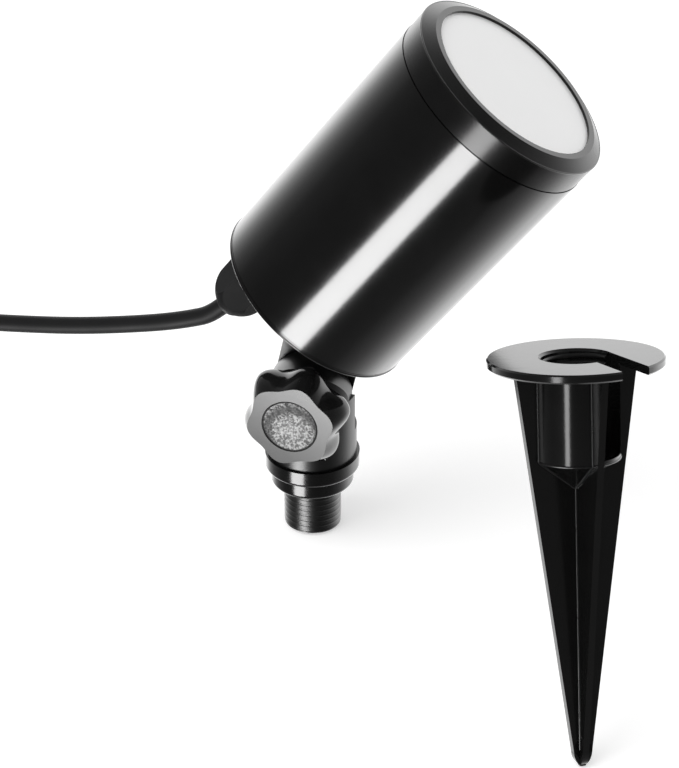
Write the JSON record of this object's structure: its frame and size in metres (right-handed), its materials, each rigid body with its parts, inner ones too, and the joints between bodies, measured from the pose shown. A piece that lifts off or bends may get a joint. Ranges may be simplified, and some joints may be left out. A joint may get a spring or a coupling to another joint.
{
  "type": "garden spotlight",
  "caption": "Garden spotlight: a cylindrical lamp head tilts on a clamped knuckle with a threaded stud, its cable in a gland, beside its separate finned ground spike.",
  "frame": {"origin": "on the stud's axis, at the seat under the lamp's foot", "axes": "-Z along the stud towards the spike it screws into; the knob faces -Y, the head leans towards +X and the cable leaves towards -X"},
  "size_m": [0.3865, 0.1958, 0.203],
  "materials": {
    "black_casting": "gloss black die casting",
    "black_gloss": "gloss black paint",
    "knob_plastic": "gloss sides, satin face",
    "sparkle_plastic": "grained disc",
    "dark_plastic": "satin moulded",
    "spike_plastic": "satin moulded black",
    "cable_rubber": "matt sheath",
    "dark_rubber": "matt",
    "core_insulation": "satin",
    "frosted_glass": "frosted",
    "lamp_white": "satin",
    "zinc_sheet": "zinc plated",
    "steel": "plated",
    "brass": "turned"
  },
  "bodies": {
    "base": {"knuckle_lower": "black_casting", "friction_washer": "dark_rubber", "spike": "spike_plastic"},
    "head": {"knuckle_upper": "black_casting", "pivot_bolt": "steel", "head_housing": "black_gloss", "rear_cap": "black_gloss", "rear_ring": "dark_rubber", "front_ring": "dark_rubber", "cap_screws": "steel", "pad_screws": "steel", "gland_washer": "dark_rubber", "gland_body": "dark_plastic", "gland_seal": "dark_rubber", "gland_nut": "dark_plastic", "gland_lock_nut": "dark_plastic", "lamp_body": "lamp_white", "lamp_diffuser": "frosted_glass", "lamp_pins": "steel", "lamp_holder": "lamp_white", "holder_bracket": "zinc_sheet", "holder_screws": "steel", "bracket_screws": "steel", "terminal_block": "lamp_white", "inner_cores": "core_insulation", "holder_leads": "core_insulation", "cable": "cable_rubber", "cable_coil": "cable_rubber", "cable_cores": "core_insulation"},
    "knob_slider": {"knob_washer": "steel"},
    "knob": {"knob": "knob_plastic", "knob_insert": "brass", "knob_cap": "sparkle_plastic"},
    "lens_stack": {"lens": "frosted_glass", "lens_gasket": "dark_rubber"},
    "bezel": {"front_bezel": "black_gloss"}
  },
  "joints": [
    {"name": "head_tilt", "type": "hinge", "parent": "base", "child": "head", "pos_m": [0, 0, 0.0386], "axis": [0, 1, 0], "range_deg": [-67.6, 52.4]},
    {"name": "knob_travel", "type": "slide", "parent": "head", "child": "knob_slider", "axis": [0, -1, 0], "range_m": [0, 0.00252]},
    {"name": "knob_spin", "type": "hinge", "parent": "knob_slider", "child": "knob", "pos_m": [0, 0, 0.0386], "axis": [0, -1, 0], "range_deg": [0, 720]},
    {"name": "bezel_travel", "type": "slide", "parent": "head", "child": "lens_stack", "axis": [0.6101, 0, 0.7923], "range_m": [0, 0.00602]},
    {"name": "bezel_spin", "type": "hinge", "parent": "lens_stack", "child": "bezel", "pos_m": [0.00282, 0, 0.07783], "axis": [0.6101, 0, 0.7923], "range_deg": [0, 1080]}
  ],
  "couplings": [
    {"joint": "knob_travel", "follows": "knob_spin", "m_per_rad": 0.00019894},
    {"joint": "bezel_travel", "follows": "bezel_spin", "m_per_rad": 0.00031831}
  ]
}
